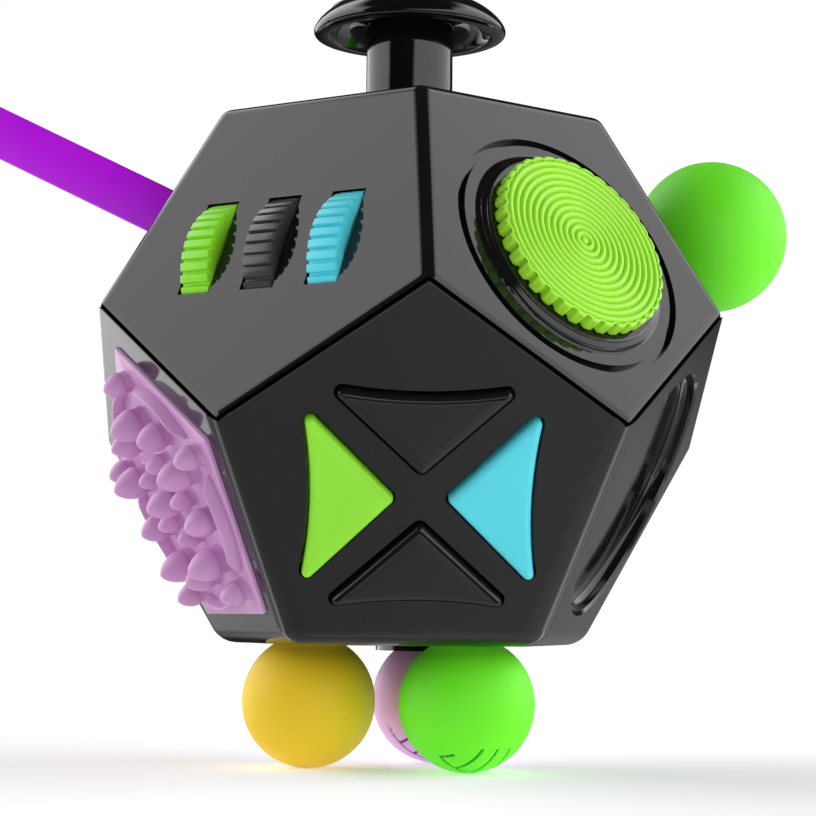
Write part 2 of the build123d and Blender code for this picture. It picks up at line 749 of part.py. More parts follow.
# ---------------------------------------------------------------- roller
roller_centre = on_face("roller", face_distance - roller_drop)
with BuildPart() as roller_ball:
    with Locations(roller_centre):
        Sphere(roller_radius)
save(roller_ball, "roller_ball")

with BuildPart() as roller_cup:
    with BuildSketch(on_face("roller", inner_distance)):
        Circle(roller_cup_radius)
    extrude(amount=-roller_cup_depth)
    with Locations(roller_centre):
        Sphere(roller_seat_radius, mode=Mode.SUBTRACT)
save(roller_cup, "roller_cup")

# ---------------------------------------------------------------- clickers
for name, (x, y) in clicker_spots.items():
    spot = (x * clicker_spread, y * clicker_spread)
    with BuildPart() as clicker:
        with BuildSketch(on_face("clickers", inner_distance - 0.2, *spot)):
            Circle(clicker_radius)
        extrude(amount=wall + 0.2 + clicker_proud)
        fillet(clicker.faces().sort_by(Axis(core, on_face("clickers", 1).z_dir))[-1].edges(), 0.5)
        with BuildSketch(on_face("clickers", inner_distance - flange_gap, *spot)):
            Circle(clicker_radius + flange_overhang)
        extrude(amount=-flange_thickness)
    save(clicker, "clicker_" + name)

dome_top = inner_distance - flange_gap - flange_thickness - clicker_travel - dome_gap
sheet_plane = on_face("clickers", dome_top - dome_height)
with BuildPart() as clicker_domes:
    with BuildSketch(sheet_plane):
        Circle(clicker_plate_radius)
    extrude(amount=-clicker_sheet_thickness)
    with BuildSketch(sheet_plane):
        with Locations(*[(x * clicker_spread, y * clicker_spread) for x, y in clicker_spots.values()]):
            Circle(clicker_dome_radius)
    extrude(amount=dome_height)
save(clicker_domes, "clicker_domes")

with BuildPart() as clicker_plate:
    with BuildSketch(sheet_plane.offset(-clicker_sheet_thickness)):
        Circle(clicker_plate_radius)
    extrude(amount=-plate_thickness)
save(clicker_plate, "clicker_plate")

# ---------------------------------------------------------------- strap
strap_plane = on_face("strap", face_distance, 0, strap_rise)
with BuildPart() as strap_gland:
    with BuildSketch(strap_plane.offset(-gland_depth)):
        RectangleRounded(*gland_size, gland_corner)
    extrude(amount=gland_depth)
    with BuildSketch(strap_plane):
        RectangleRounded(*gland_rim_size, gland_rim_corner)
    extrude(amount=gland_rim_height)
    with BuildSketch(strap_plane.offset(2)):
        Rectangle(strap_thickness, strap_width)
    extrude(amount=-8, mode=Mode.SUBTRACT)
save(strap_gland, "strap_gland")

strap_along = Plane(origin=strap_plane.origin, x_dir=strap_plane.z_dir, z_dir=strap_plane.x_dir)
with BuildPart() as strap:
    with BuildSketch(strap_along.offset(-strap_thickness / 2)):
        with Locations(((strap_length - strap_root) / 2, 0)):
            Rectangle(strap_length + strap_root, strap_width)
        with Locations((strap_length, 0)):
            Circle(strap_tab_radius)
            Circle(eyelet_radius + eyelet_wall, mode=Mode.SUBTRACT)
    extrude(amount=strap_thickness)
save(strap, "strap")

with BuildPart() as strap_anchor:
    with BuildSketch(strap_plane.offset(-gland_depth)):
        Rectangle(*anchor_size)
        Rectangle(strap_thickness, strap_width, mode=Mode.SUBTRACT)
    extrude(amount=gland_depth - strap_root)
save(strap_anchor, "strap_anchor")

with BuildPart() as strap_eyelet:
    with BuildSketch(strap_along.offset(-strap_thickness / 2 - eyelet_wall)):
        with Locations((strap_length, 0)):
            Circle(eyelet_radius + eyelet_wall)
    extrude(amount=strap_thickness + 2 * eyelet_wall)
    for side in (-1, 1):
        start = side * (strap_thickness / 2)
        with BuildSketch(strap_along.offset(start)):
            with Locations((strap_length, 0)):
                Circle(eyelet_radius + eyelet_rim)
        extrude(amount=side * eyelet_wall)
    with BuildSketch(strap_along.offset(-strap_thickness)):
        with Locations((strap_length, 0)):
            Circle(eyelet_radius)
    extrude(amount=2 * strap_thickness, mode=Mode.SUBTRACT)
save(strap_eyelet, "strap_eyelet")
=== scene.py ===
"""Looks of a twelve-sided fidget toy: glossy black shell, bright controls, silicone balls, a strap."""

from math import acos, atan, atan2, cos, degrees, exp, pi, radians, sin, sqrt

import bmesh
import bpy
from mathutils import Matrix, Vector


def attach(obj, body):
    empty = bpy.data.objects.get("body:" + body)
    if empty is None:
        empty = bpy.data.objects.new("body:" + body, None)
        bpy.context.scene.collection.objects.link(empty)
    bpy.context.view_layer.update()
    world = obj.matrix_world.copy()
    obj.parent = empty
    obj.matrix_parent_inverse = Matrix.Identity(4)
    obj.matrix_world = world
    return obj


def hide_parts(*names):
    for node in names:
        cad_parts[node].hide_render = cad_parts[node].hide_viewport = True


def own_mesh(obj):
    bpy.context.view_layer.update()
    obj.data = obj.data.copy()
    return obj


MM = 0.001

# ---------------------------------------------------------------- the body, in metres
EDGE = 18 * MM
STRETCH = 1.014  # how much taller the body is than a regular dodecahedron
END_FACE = EDGE * sqrt(250 + 110 * sqrt(5)) / 20 * STRETCH  # middle of the body to its top and bottom
TILT = atan(0.5 / STRETCH)  # of the side faces' normals from the horizontal
FACE = END_FACE / STRETCH / sqrt(0.8 + 0.2 / STRETCH**2)  # middle of the body to the other faces
BALL_SEAT = 4.35 * MM  # middle of the lower balls, below the bottom face
BALL_RADIUS = 5.1 * MM
CORE = Vector((0, 0, END_FACE + BALL_SEAT + BALL_RADIUS))

# name: (azimuth of the face's normal in degrees, its elevation in radians)
FACES = {
    "stick": (90, pi / 2),
    "gears": (-126, TILT),
    "dial": (-54, TILT),
    "side_ball": (18, TILT),
    "rocker": (90, TILT),
    "strap": (162, TILT),
    "pad": (-90, -TILT),
    "roller": (54, -TILT),
    "clickers": (126, -TILT),
    "massage": (-162, -TILT),
    "balls": (90, -pi / 2),
}

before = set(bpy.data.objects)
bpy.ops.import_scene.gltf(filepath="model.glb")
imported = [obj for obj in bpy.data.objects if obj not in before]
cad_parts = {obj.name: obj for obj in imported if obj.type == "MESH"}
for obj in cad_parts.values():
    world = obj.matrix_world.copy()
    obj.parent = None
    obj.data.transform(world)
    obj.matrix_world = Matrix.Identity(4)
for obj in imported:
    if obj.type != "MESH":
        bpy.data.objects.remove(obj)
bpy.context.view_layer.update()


def on_face(name, height=0.0, u=0.0, v=0.0):
    """Matrix from a face's own axes (across, up, out) to the model, at a height above the face."""
    azimuth, elevation = radians(FACES[name][0]), FACES[name][1]
    out = Vector((cos(elevation) * cos(azimuth), cos(elevation) * sin(azimuth), sin(elevation)))
    across = Vector((-sin(azimuth), cos(azimuth), 0))
    reach = FACE + height
    if name in ("stick", "balls"):
        across = Vector((1, 0, 0))
        reach = END_FACE + height
    up = out.cross(across)
    place = CORE + out * reach + across * u + up * v
    turn = Matrix((across, up, out)).transposed().to_4x4()
    return Matrix.Translation(place) @ turn


# ---------------------------------------------------------------- camera
CAMERA_PLACE = Vector((-11.15, -185.32, 11.41)) * MM
CAMERA_AZIMUTH = 86.52
CAMERA_ELEVATION = 5.04
CAMERA_ROLL = 0.51
CAMERA_LENS = 105.48
CAMERA_SENSOR = 36
CAMERA_CLIP = (0.01, 20)


def make_camera():
    azimuth, elevation, roll = (radians(a) for a in (CAMERA_AZIMUTH, CAMERA_ELEVATION, CAMERA_ROLL))
    ahead = Vector((cos(elevation) * cos(azimuth), cos(elevation) * sin(azimuth), sin(elevation)))
    right = ahead.cross(Vector((0, 0, 1))).normalized()
    up = right.cross(ahead)
    rolled_right = right * cos(roll) + up * sin(roll)
    rolled_up = up * cos(roll) - right * sin(roll)
    data = bpy.data.cameras.new("camera")
    data.lens = CAMERA_LENS
    data.sensor_width = CAMERA_SENSOR
    data.clip_start, data.clip_end = CAMERA_CLIP
    camera = bpy.data.objects.new("camera", data)
    bpy.context.collection.objects.link(camera)
    turn = Matrix((rolled_right, rolled_up, -ahead)).transposed().to_4x4()
    camera.matrix_world = Matrix.Translation(CAMERA_PLACE) @ turn
    bpy.context.scene.camera = camera


# ---------------------------------------------------------------- materials
NOISE_RANGE = (0.3, 0.7)  # where nearly all values of a noise texture lie
GLOSS_PATCHES = 160  # features per metre, as in the three below
COLOUR_PATCHES = 60
HANDLING_MARKS = 420
METAL_GRAIN = 6000
GRAIN_DETAIL = 2
GRAIN_STRENGTH = 0.25
METAL_GRAIN_STRENGTH = 0.2
METAL_GRAIN_DEPTH = 2e-6
SKIN_DEPTH = 1.2 * MM  # how far light travels in silicone


def new_material(name):
    material = bpy.data.materials.new(name)
    material.use_nodes = True
    nodes = material.node_tree.nodes
    return material, nodes, material.node_tree.links, nodes["Principled BSDF"]


def noise(nodes, links, scale, detail=3.0):
    """A noise texture in object space, in features per metre."""
    place = nodes.new("ShaderNodeTexCoord")
    texture = nodes.new("ShaderNodeTexNoise")
    texture.inputs["Scale"].default_value = scale
    texture.inputs["Detail"].default_value = detail
    links.new(place.outputs["Object"], texture.inputs["Vector"])
    return texture


def spread(nodes, links, texture, low, high, target):
    """Maps a noise texture to a range of values on a socket."""
    ramp = nodes.new("ShaderNodeMapRange")
    ramp.inputs["From Min"].default_value = NOISE_RANGE[0]
    ramp.inputs["From Max"].default_value = NOISE_RANGE[1]
    ramp.inputs["To Min"].default_value = low
    ramp.inputs["To Max"].default_value = high
    links.new(texture.outputs["Fac"], ramp.inputs["Value"])
    links.new(ramp.outputs["Result"], target)


def bump(nodes, links, texture, shader, strength, distance):
    node = nodes.new("ShaderNodeBump")
    node.inputs["Strength"].default_value = strength
    node.inputs["Distance"].default_value = distance
    links.new(texture.outputs["Fac"], node.inputs["Height"])
    links.new(node.outputs["Normal"], shader.inputs["Normal"])


def plastic(name, colour, roughness, variation=0.02, ior=1.46, grain=9000, depth=2e-6, fade=0.08):
    """Moulded plastic: a slightly uneven gloss, a very fine moulded grain and a slow drift of colour."""
    material, nodes, links, shader = new_material(name)
    shader.inputs["IOR"].default_value = ior
    gloss = noise(nodes, links, GLOSS_PATCHES)
    spread(nodes, links, gloss, roughness - variation, roughness + variation, shader.inputs["Roughness"])
    bump(nodes, links, noise(nodes, links, grain, GRAIN_DETAIL), shader, GRAIN_STRENGTH, depth)
    mix = nodes.new("ShaderNodeMix")
    mix.data_type = "RGBA"
    mix.inputs["A"].default_value = (*[c * (1 - fade) for c in colour], 1)
    mix.inputs["B"].default_value = (*[min(c * (1 + fade), 1) for c in colour], 1)
    spread(nodes, links, noise(nodes, links, COLOUR_PATCHES), 0.0, 1.0, mix.inputs["Factor"])
    links.new(mix.outputs["Result"], shader.inputs["Base Color"])
    return material


def silicone(name, colour, roughness=0.55, glow=0.12):
    """Soft-touch silicone: light enters a little, and the surface has a powdery sheen."""
    material = plastic(name, colour, roughness, 0.04, 1.42, 5200, 4e-6, 0.05)
    shader = material.node_tree.nodes["Principled BSDF"]
    shader.inputs["Subsurface Weight"].default_value = glow
    shader.inputs["Subsurface Radius"].default_value = (SKIN_DEPTH, SKIN_DEPTH, SKIN_DEPTH)
    shader.inputs["Subsurface Scale"].default_value = 1.0
    shader.inputs["Sheen Weight"].default_value = 0.02
    shader.inputs["Sheen Roughness"].default_value = 0.4
    return material


def metal(name, colour, roughness):
    """Plated metal with fine handling marks."""
    material, nodes, links, shader = new_material(name)
    shader.inputs["Base Color"].default_value = (*colour, 1)
    shader.inputs["Metallic"].default_value = 1.0
    marks = noise(nodes, links, HANDLING_MARKS, 4)
    spread(nodes, links, marks, roughness * 0.7, roughness * 1.5, shader.inputs["Roughness"])
    grain = noise(nodes, links, METAL_GRAIN)
    bump(nodes, links, grain, shader, METAL_GRAIN_STRENGTH, METAL_GRAIN_DEPTH)
    return material


def make_materials():
    return {
        "shell": plastic("glossy_black_shell", (0.0075, 0.0072, 0.0078), 0.07, 0.02, 1.45, 2600, 6e-7),
        "gloss_black": plastic("polished_black", (0.004, 0.004, 0.0045), 0.045, 0.01, 1.5, 2600, 4e-7),
        "black": plastic("satin_black", (0.0085, 0.008, 0.009), 0.16, 0.03, 1.45, 7000, 1.5e-6),
        "black_wheel": plastic("grey_black", (0.052, 0.05, 0.053), 0.24, 0.04, 1.5, 7000, 1.5e-6),
        "lime": plastic("lime_plastic", (0.30, 0.84, 0.03), 0.38, 0.05, 1.45, 7000, 2e-6),
        "lime_light": plastic("pale_lime_plastic", (0.40, 0.86, 0.04), 0.4, 0.05, 1.45, 7000, 2e-6),
        "cyan": plastic("cyan_plastic", (0.095, 0.70, 0.82), 0.36, 0.05, 1.45, 7000, 2e-6),
        "orange": plastic("orange_plastic", (0.88, 0.34, 0.03), 0.38, 0.05),
        "pink": plastic("pink_plastic", (0.78, 0.30, 0.62), 0.38, 0.05),
        "violet": plastic("violet_plastic", (0.30, 0.03, 0.60), 0.38, 0.05),
        "nylon": plastic("natural_nylon", (0.62, 0.60, 0.54), 0.45, 0.06),
        "green_ball": silicone("green_silicone", (0.175, 0.97, 0.018)),
        # The groove looks here and below are darker copies of each ball's silicone colour: painted shade
        # in the tread's shallow grooves.
        "green_line": silicone("green_silicone_painted_groove_shade", (0.03, 0.33, 0.01)),
        "orange_ball": silicone("orange_silicone", (0.92, 0.64, 0.016)),
        "orange_line": silicone("orange_silicone_painted_groove_shade", (0.33, 0.16, 0.01)),
        "pink_ball": silicone("pink_silicone_ball", (0.86, 0.52, 0.98)),
        "pink_line": silicone("pink_silicone_painted_groove_shade", (0.20, 0.06, 0.20)),
        "pink_pad": silicone("pink_silicone", (0.59, 0.31, 0.58), 0.36, 0.15),
        "grey_silicone": silicone("grey_silicone", (0.42, 0.42, 0.43), 0.45),
        "strap": plastic("violet_strap", (0.56, 0.006, 0.90), 0.36, 0.05, 1.45, 4200, 3e-6),
        "steel": metal("plated_steel", (0.72, 0.72, 0.73), 0.12),
        "spring_steel": metal("spring_steel", (0.55, 0.55, 0.56), 0.2),
    }


# ---------------------------------------------------------------- mesh helpers
def finish_piece(name, mesh, material, body, replaces, sharp):
    """Makes a piece of a mesh: shading smooth up to `sharp` degrees, its looks, body and nodes."""
    for polygon in mesh.polygons:
        polygon.use_smooth = True
    mesh.set_sharp_from_angle(angle=radians(sharp))
    piece = bpy.data.objects.new(name, mesh)
    bpy.context.collection.objects.link(piece)
    for entry in material if isinstance(material, (list, tuple)) else [material]:
        mesh.materials.append(entry)
    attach(piece, body)
    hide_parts(*replaces)
    return piece


def mesh_of(name, points, faces, matrix=None):
    mesh = bpy.data.meshes.new(name)
    if matrix is not None:
        points = [matrix @ Vector(p) for p in points]
    mesh.from_pydata([tuple(p) for p in points], [], faces)
    shape = bmesh.new()
    shape.from_mesh(mesh)
    bmesh.ops.recalc_face_normals(shape, faces=shape.faces)
    shape.to_mesh(mesh)
    shape.free()
    mesh.validate()
    mesh.update()
    return mesh


def ring_faces(rings, steps):
    """Quads between rings of points, each of `steps` points."""
    faces = []
    for ring in range(rings - 1):
        for step in range(steps):
            after = (step + 1) % steps
            low, high = ring * steps, (ring + 1) * steps
            faces.append((low + step, low + after, high + after, high + step))
    return faces


def lathe(profile, steps, shape=None):
    """Revolves (radius, height) points about local Z. shape(angle, radius, height) may move a point."""
    points = []
    inner = profile[0][0] < 1e-9
    outer = profile[-1][0] < 1e-9
    rings = profile[1 if inner else 0 : len(profile) - (1 if outer else 0)]
    for radius, height in rings:
        for step in range(steps):
            angle = 2 * pi * step / steps
            r, h = (radius, height) if shape is None else shape(angle, radius, height)
            points.append((r * cos(angle), r * sin(angle), h))
    faces = ring_faces(len(rings), steps)
    if inner:
        points.append((0, 0, profile[0][1]))
        tip = len(points) - 1
        faces += [(tip, (step + 1) % steps, step) for step in range(steps)]
    if outer:
        points.append((0, 0, profile[-1][1]))
        tip = len(points) - 1
        last = (len(rings) - 1) * steps
        faces += [(tip, last + step, last + (step + 1) % steps) for step in range(steps)]
    return points, faces


def smooth_path(points, rounds):
    """Chaikin's corner cutting on an open list of 2-D points, ends kept."""
    for _ in range(rounds):
        cut = [points[0]]
        for (ax, ay), (bx, by) in zip(points, points[1:]):
            cut.append((ax * 0.75 + bx * 0.25, ay * 0.75 + by * 0.25))
            cut.append((ax * 0.25 + bx * 0.75, ay * 0.25 + by * 0.75))
        cut.append(points[-1])
        points = cut
    return points


def join(parts):
    """Joins (points, faces) lists into one."""
    points, faces = [], []
    for more_points, more_faces in parts:
        start = len(points)
        points += [tuple(p) for p in more_points]
        faces += [tuple(start + i for i in face) for face in more_faces]
    return points, faces


def moved(part, matrix):
    points, faces = part
    return [matrix @ Vector(p) for p in points], faces


def tube(path, radius, steps):
    """A round tube along 3-D points, with flat ends."""
    points = []
    path = [Vector(p) for p in path]
    side = None
    for index, place in enumerate(path):
        before = path[max(index - 1, 0)]
        after = path[min(index + 1, len(path) - 1)]
        ahead = (after - before).normalized()
        if side is None:
            side = ahead.orthogonal().normalized()
        side = (side - ahead * side.dot(ahead)).normalized()
        other = ahead.cross(side)
        for step in range(steps):
            angle = 2 * pi * step / steps
            points.append(place + side * (radius * cos(angle)) + other * (radius * sin(angle)))
    faces = ring_faces(len(path), steps)
    faces.append(tuple(reversed(range(steps))))
    last = (len(path) - 1) * steps
    faces.append(tuple(last + step for step in range(steps)))
    return points, faces


CLOSED_TURNS = 1.0  # at either end of a spring
COIL_STEPS = 26  # round one turn
WIRE_STEPS = 8  # round the wire


def coil(radius, wire, height, turns):
    """A compression spring standing on local Z, with closed end turns."""
    path = []
    total = int(turns * COIL_STEPS)
    rise = height - 2 * wire
    for step in range(total + 1):
        turn = step / COIL_STEPS
        share = min(max((turn - CLOSED_TURNS) / (turns - 2 * CLOSED_TURNS), 0.0), 1.0)
        start = min(turn, CLOSED_TURNS) / CLOSED_TURNS * wire
        end = max(turn - (turns - CLOSED_TURNS), 0.0) / CLOSED_TURNS * wire
        z = wire / 2 + start + share * (rise - wire) + end
        path.append((radius * cos(2 * pi * turn), radius * sin(2 * pi * turn), z))
    return tube(path, wire / 2, WIRE_STEPS)


# ---------------------------------------------------------------- dressing the CAD pieces
def dress(material, *nodes):
    for node in nodes:
        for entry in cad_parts[node].material_slots:
            entry.material = material


# ---------------------------------------------------------------- spinning dial
DIAL_RADIUS = 7.3 * MM
DIAL_THICKNESS = 1.2 * MM
DIAL_HEIGHT = 0.65 * MM  # underside of the dial above its face
DIAL_DROP = -0.91 * MM
DIAL_SCALLOPS = 36
DIAL_RINGS = 12
DIAL_RIM = 0.75 * MM  # plain band outside the rings
DIAL_FIRST = 0.38 * MM  # radius of the innermost groove
DIAL_DEEP = (0.26 * MM, 0.2 * MM)  # of the two inner grooves and of the others
DIAL_GROOVE = ((-0.12, 0.0), (-0.06, 0.35), (-0.025, 1.0), (0.025, 1.0), (0.06, 0.35), (0.12, 0.0))
DIAL_SWELL = ((0.3, 0.035), (0.5, 0.05), (0.7, 0.035))  # share of the pitch, and rise in mm
DIAL_STEM = (1.5 * MM, 3.0 * MM)  # radius and length
DIAL_NOTCH = (0.15, 0.45)  # depth of a scallop in mm, on the upper edge and on the wall


def make_dial(looks):
    pitch = (DIAL_RADIUS - DIAL_RIM) / DIAL_RINGS
    profile = [(0, DIAL_THICKNESS + 0.02 * MM), (0.2 * MM, DIAL_THICKNESS + 0.02 * MM)]
    for ring in range(DIAL_RINGS + 1):
        middle = DIAL_FIRST + ring * pitch
        deep = DIAL_DEEP[0] if ring < 2 else DIAL_DEEP[1]
        for offset, share in DIAL_GROOVE:  # offset in mm from the groove's middle, share of its depth
            profile.append((middle + offset * MM, DIAL_THICKNESS - share * deep))
        if ring < DIAL_RINGS:
            for share, rise in DIAL_SWELL:
                profile.append((middle + pitch * share, DIAL_THICKNESS + rise * MM))
    rim = DIAL_RADIUS
    profile += [(rim - 0.22 * MM, DIAL_THICKNESS), (rim - 0.1 * MM, DIAL_THICKNESS - 0.02 * MM)]
    profile += [(rim, DIAL_THICKNESS - 0.1 * MM), (rim, 0.3 * MM), (rim, 0.08 * MM), (rim - 0.08 * MM, 0)]
    stem, length = DIAL_STEM
    profile += [(stem, 0), (stem, -length), (0, -length)]

    def scallop(angle, radius, height):
        if radius < rim - 0.3 * MM or height < -0.01 * MM:
            return radius, height
        notch = max(0.0, cos(DIAL_SCALLOPS * angle)) ** 1.5
        deep = DIAL_NOTCH[0] if height > DIAL_THICKNESS - 0.05 * MM else DIAL_NOTCH[1]
        return radius - deep * MM * notch, height

    points, faces = lathe(profile, DIAL_SCALLOPS * 10, scallop)
    mesh = mesh_of("spin_dial_look", points, faces, on_face("dial", DIAL_HEIGHT, 0, DIAL_DROP))
    look = looks["lime_light"]
    finish_piece("spin_dial_look", mesh, look, "dial", ["spin_dial"], 50)


# ---------------------------------------------------------------- thumb wheels
WHEEL_RADIUS = 5.75 * MM
WHEEL_WIDTH = 2.5 * MM
WHEEL_TEETH = 40
WHEEL_HEIGHT = 1.35 * MM - WHEEL_RADIUS  # of the axle, from the face
WHEEL_PITCH = 5.6 * MM
WHEEL_MIDDLE = (-0.1 * MM, -0.36 * MM)
WHEEL_BORE = 1.05 * MM
WHEEL_NOTCH = 0.34 * MM  # depth between two teeth


def make_wheel(name, place, material):
    half = WHEEL_WIDTH / 2
    top = WHEEL_RADIUS
    hollow = -half + 0.15 * MM
    profile = [(WHEEL_BORE, -half), (3.2 * MM, -half), (3.4 * MM, hollow), (4.5 * MM, hollow)]
    profile += [(4.7 * MM, -half), (top - 0.42 * MM, -half), (top - 0.12 * MM, -half)]
    profile += [(top - 0.03 * MM, -half + 0.04 * MM), (top, -half + 0.14 * MM), (top, 0)]
    profile += [(r, -h) for r, h in reversed(profile[:-1])] + [(WHEEL_BORE, -half)]

    def tooth(angle, radius, height):
        if radius < top - 0.3 * MM:
            return radius, height
        wave = cos(WHEEL_TEETH * angle)
        notch = 1 / (1 + exp(-13 * (wave - 0.6)))
        return radius - WHEEL_NOTCH * notch, height

    part = lathe(profile, WHEEL_TEETH * 10, tooth)
    axle = on_face("gears", WHEEL_HEIGHT, WHEEL_MIDDLE[0] + place * WHEEL_PITCH, WHEEL_MIDDLE[1])
    turn = Matrix.Rotation(pi / 2, 4, "Y")  # the wheel's own axis along the face's across direction
    mesh = mesh_of(name, *part, axle @ turn)
    wheel = name.rsplit("_", 1)[0]
    finish_piece(name, mesh, material, wheel, ["thumb_" + wheel], 42)


# ---------------------------------------------------------------- game pad
PAD_DROP = -1.09 * MM
PAD_PROUD = 0.8 * MM
PAD_POINT = 1.8 * MM  # inner point of each button, from the middle of the cross
PAD_FAR = (8.5 * MM, 6.95 * MM)
PAD_HOLLOW = 7.8 * MM  # middle of the hollow outer side
PAD_CORNER = 0.4 * MM
PAD_ROUND = 0.55 * MM
PAD_FLANGE = (-2.05 * MM, -2.85 * MM, 0.6 * MM)  # top, underside and overhang
PAD_ARC_STEPS = 8  # round a corner, and round the upper edge
PAD_SIDE_STEPS = 12  # along half of the hollow side
# name: (turn in degrees, look, slot)
PAD_BUTTONS = {
    "right": (0, "cyan", "cyan_plastic"),
    "top": (90, "black", "black_button"),
    "left": (180, "lime", "green_plastic"),
    "bottom": (270, "black", "black_button"),
}


def pad_ring(inset):
    """Outline of a button moved inwards by an inset: two straight sides, a hollow one, round corners."""
    far = Vector(PAD_FAR)
    bow = far.x - PAD_HOLLOW
    bend = (far.y**2 + bow**2) / (2 * bow)
    middle = Vector((PAD_HOLLOW + bend, 0))
    along = (far - Vector((PAD_POINT, 0))).normalized()
    inwards = Vector((along.y, -along.x))

    def centres(depth):
        start = Vector((PAD_POINT, 0)) + inwards * depth - middle
        run = -along.dot(start) - sqrt(along.dot(start) ** 2 - start.length_squared + (bend + depth) ** 2)
        return Vector((PAD_POINT + depth / along.y, 0)), middle + start + along * run

    point, corner = centres(max(inset, PAD_CORNER))
    radius = max(PAD_CORNER - inset, 0.0)
    facing = (middle - corner).normalized()
    first, last = atan2(-inwards.y, -inwards.x), atan2(facing.y, facing.x)
    ring = []
    for step in range(PAD_ARC_STEPS + 1):
        angle = first + (last - first) * step / PAD_ARC_STEPS
        ring.append(corner + Vector((cos(angle), sin(angle))) * radius)
    end = atan2(corner.y, corner.x - middle.x) % (2 * pi)
    for step in range(1, PAD_SIDE_STEPS):
        angle = end + (pi - end) * step / PAD_SIDE_STEPS
        ring.append(middle + Vector((cos(angle), sin(angle))) * (bend + inset))
    ring.append(middle - Vector((bend + inset, 0)))
    lower = [Vector((p.x, -p.y)) for p in reversed(ring[:-1])]
    tip = []
    for step in range(PAD_ARC_STEPS + 1):
        angle = -first - 2 * (pi - first) * step / PAD_ARC_STEPS
        tip.append(point + Vector((cos(angle), sin(angle))) * radius)
    return ring + lower + tip


def make_pad_buttons(looks):
    levels = []
    for step in range(PAD_ARC_STEPS + 1):
        angle = pi / 2 * step / PAD_ARC_STEPS
        levels.append((PAD_ROUND * (1 - sin(angle)), PAD_PROUD - PAD_ROUND * (1 - cos(angle))))
    levels = [(PAD_ROUND + 0.5 * MM, PAD_PROUD + 0.01 * MM)] + levels
    top, foot, overhang = PAD_FLANGE
    levels += [(0, top), (-overhang, top), (-overhang, foot)]
    points = []
    for inset, height in levels:
        points += [(p.x, p.y, height) for p in pad_ring(inset)]
    count = len(points) // len(levels)
    faces = ring_faces(len(levels), count)
    faces.append(tuple(range(count)))
    faces.append(tuple((len(levels) - 1) * count + i for i in range(count)))
    for name, (turn, look, slot) in PAD_BUTTONS.items():
        body = "pad_" + name
        matrix = on_face("pad", 0, 0, PAD_DROP) @ Matrix.Rotation(radians(turn), 4, "Z")
        mesh = mesh_of(body + "_look", points, faces, matrix)
        finish_piece(body + "_look", mesh, looks[look], body, ["pad_button_" + name], 35)


# ---------------------------------------------------------------- thumb stick cap
CAP_BASE = 7.02 * MM  # lowest rim of the cap above the top face
# half section in mm, from the stem's seat through the hollow underside, round the rim and to the crown
CAP_OUTLINE = (
    (3.5, 0.82), (3.7, 1.6), (4.4, 2.0), (5.3, 1.65), (5.95, 0.85), (6.25, 0.12), (6.4, 0.0),
    (7.1, 0.0), (7.45, 0.08), (7.6, 0.38), (7.5, 0.75), (7.1, 1.3), (6.5, 1.85), (5.8, 2.32),
    (4.8, 2.75), (4.1, 2.9), (3.6, 3.12), (3.2, 3.2), (2.4, 3.14), (1.2, 2.95), (0.0, 2.9),
)
CAP_PEG = (1.78, -1.9)  # radius, and lowest point, in mm
CAP_SEAT = (2.4, 0.82)  # where the stem's top stands, radius and height in mm
CAP_STEPS = 224
GRIP_HALF = 0.75  # half width of a grip nub, in mm
GRIP_SPAN = (4.95, 6.15)  # its inner and outer radius, in mm
GRIP_LIFT = 0.26 * MM
GRIP_EDGE = 18  # steepness of its sides


def make_cap(looks):
    peg, foot = CAP_PEG
    inside = [(0, foot), (peg, foot), (peg, CAP_SEAT[1]), CAP_SEAT]
    profile = [(r * MM, h * MM) for r, h in inside + smooth_path(CAP_OUTLINE, 2)]

    def pads(angle, radius, height):
        """Four small grip nubs on the crown, at the front, back and both sides."""
        under = max(0.0, 2.6 * MM - (radius - 4.0 * MM) * 0.7)
        if height < under or radius < 4.0 * MM or radius > 7.2 * MM:
            return radius, height
        away = abs((angle + pi / 4) % (pi / 2) - pi / 4) * radius / MM
        edge = 1 / (1 + exp(GRIP_EDGE * (away - GRIP_HALF)))
        beyond = 1 / (1 + exp(-GRIP_EDGE * (radius / MM - GRIP_SPAN[0])))
        within = 1 / (1 + exp(GRIP_EDGE * (radius / MM - GRIP_SPAN[1])))
        lift = GRIP_LIFT * edge * beyond * within
        return radius + lift * 0.35, height + lift

    points, faces = lathe(profile, CAP_STEPS, pads)
    mesh = mesh_of("joystick_cap_look", points, faces, on_face("stick", CAP_BASE))
    look = looks["gloss_black"]
    finish_piece("joystick_cap_look", mesh, look, "stick", ["joystick_cap"], 60)


# ---------------------------------------------------------------- massage pad
TRAY_RADIUS = 12.1 * MM
TRAY_BASE = -0.7 * MM
TRAY_TOP = 0.25 * MM
TRAY_DROP = -0.39 * MM
TRAY_CORNER = 0.3 * MM
TRAY_CORNER_POINTS = 5
WALL_INSET = 2.1 * MM  # of the walls' corners from the tray's
WALL_SPAN = (0.17, 0.83)  # share of the side that a wall takes up
WALL_BULGE = 0.85 * MM
WALL_HALF = 0.12 * MM  # half thickness
WALL_HEIGHT = 0.95 * MM
WALL_STEPS = 20
NUB_STEPS = 28
NUB_LEVELS = 18
# rings of nubs: (ring radius, how many, first angle, foot radius, height)
NUB_RINGS = (
    (0.0, 1, 0, 1.2, 2.9),
    (3.1, 5, 142, 0.8, 1.95),
    (6.35, 5, 90, 1.25, 3.0),
    (6.2, 5, 54, 1.1, 2.5),
    (9.5, 5, 90, 0.95, 2.1),
)


